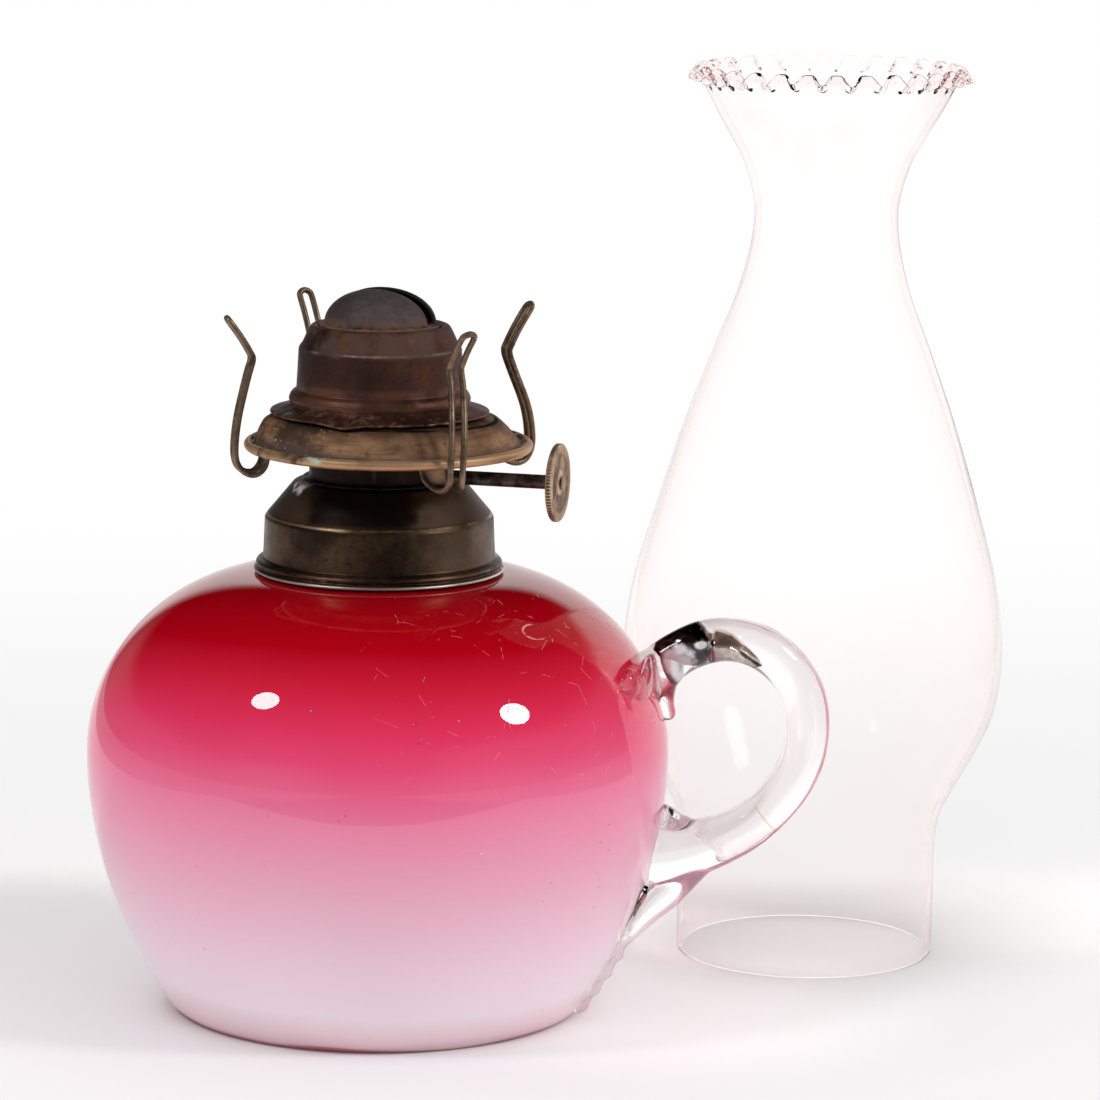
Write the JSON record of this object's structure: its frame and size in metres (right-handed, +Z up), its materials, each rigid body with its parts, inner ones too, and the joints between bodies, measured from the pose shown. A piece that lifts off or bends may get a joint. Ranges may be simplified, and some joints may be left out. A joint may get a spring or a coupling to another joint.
{
  "type": "finger lamp",
  "caption": "Squat glass oil lamp with a finger-loop handle, stepped brass collar, flat-wick burner with sprung wire prongs, and its crimp-topped glass chimney standing beside it.",
  "frame": {"origin": "middle of the font's flat base, where the lamp stands", "axes": "+Z up the lamp's axis, +X from the axis towards the handle, +Y to the back, behind the lamp as pictured"},
  "size_m": [0.2208, 0.1692, 0.2176],
  "materials": {
    "cased_glass": "glossy, red shading to pale pink",
    "clear_glass": "glossy clear",
    "blush_glass": "glossy clear, faint pink",
    "collar_brass": "aged, olive bronze",
    "burner_brass": "aged, brown",
    "cap_brass": "patinated, purple brown",
    "wire_brass": "aged wire",
    "wheel_brass": "aged, milled edge",
    "dark_steel": "dark",
    "dome_steel": "dark grey, burnt",
    "plaster": "matt",
    "cotton": "woven"
  },
  "bodies": {
    "lamp": {"font": "cased_glass", "handle": "clear_glass", "collar_shell": "collar_brass", "collar_screw_ring": "collar_brass", "neck_plaster": "plaster"},
    "screw_shell": {"burner_screw_shell": "burner_brass"},
    "burner": {"burner_base_plate": "burner_brass", "burner_drum": "burner_brass", "air_screen": "burner_brass", "wick_tube": "burner_brass", "vent_tube": "burner_brass", "spindle_bush": "burner_brass", "wheel_housing": "burner_brass", "gallery_plate": "burner_brass"},
    "wick_raiser": {"spindle": "dark_steel", "wick_wheel_1": "dark_steel", "wick_wheel_2": "dark_steel", "thumbwheel": "wheel_brass"},
    "wick": {"wick": "cotton"},
    "cap": {"burner_cap": "cap_brass", "deflector_dome": "dome_steel"},
    "chimney": {"chimney": "blush_glass"},
    "prong_left": {"prong_left": "wire_brass"},
    "prong_front": {"prong_front": "wire_brass"},
    "prong_right": {"prong_right": "wire_brass"},
    "prong_back": {"prong_back": "wire_brass"}
  },
  "joints": [
    {"name": "chimney_lift", "type": "slide", "parent": "lamp", "child": "chimney", "axis": [0, 0, 1], "range_m": [0, 0.18]},
    {"name": "burner_lift", "type": "slide", "parent": "lamp", "child": "screw_shell", "axis": [0, 0, 1], "range_m": [0, 0.115]},
    {"name": "burner_turn", "type": "hinge", "parent": "screw_shell", "child": "burner", "pos_m": [0, 0, 0.126], "axis": [0, 0, 1], "range_deg": [0, 1080]},
    {"name": "cap_lift", "type": "slide", "parent": "burner", "child": "cap", "axis": [0, 0, 1], "range_m": [0, 0.045]},
    {"name": "wick_raiser_turn", "type": "hinge", "parent": "burner", "child": "wick_raiser", "pos_m": [-0.00127, -0.00473, 0.1281], "axis": [0.9659, -0.2588, 0], "range_deg": [-190, 205]},
    {"name": "wick_slide", "type": "slide", "parent": "burner", "child": "wick", "axis": [0, 0, 1], "range_m": [-0.0115, 0.0123]},
    {"name": "prong_left_spring", "type": "hinge", "parent": "burner", "child": "prong_left", "pos_m": [-0.02649, -0.00677, 0.1369], "axis": [0.2419, -0.9703, 0], "range_deg": [0, 8], "stiffness_Nm_per_rad": 0.12},
    {"name": "prong_front_spring", "type": "hinge", "parent": "burner", "child": "prong_front", "pos_m": [0.01339, -0.02495, 0.1369], "axis": [0.891, 0.454, 0], "range_deg": [0, 8], "stiffness_Nm_per_rad": 0.12},
    {"name": "prong_right_spring", "type": "hinge", "parent": "burner", "child": "prong_right", "pos_m": [0.02585, 0.01227, 0.1369], "axis": [-0.4384, 0.8988, 0], "range_deg": [0, 8], "stiffness_Nm_per_rad": 0.12},
    {"name": "prong_back_spring", "type": "hinge", "parent": "burner", "child": "prong_back", "pos_m": [-0.01416, 0.02375, 0.1369], "axis": [-0.848, -0.5299, 0], "range_deg": [0, 8], "stiffness_Nm_per_rad": 0.12}
  ],
  "couplings": [
    {"joint": "wick_slide", "follows": "wick_raiser_turn", "m_per_rad": 0.0034}
  ]
}
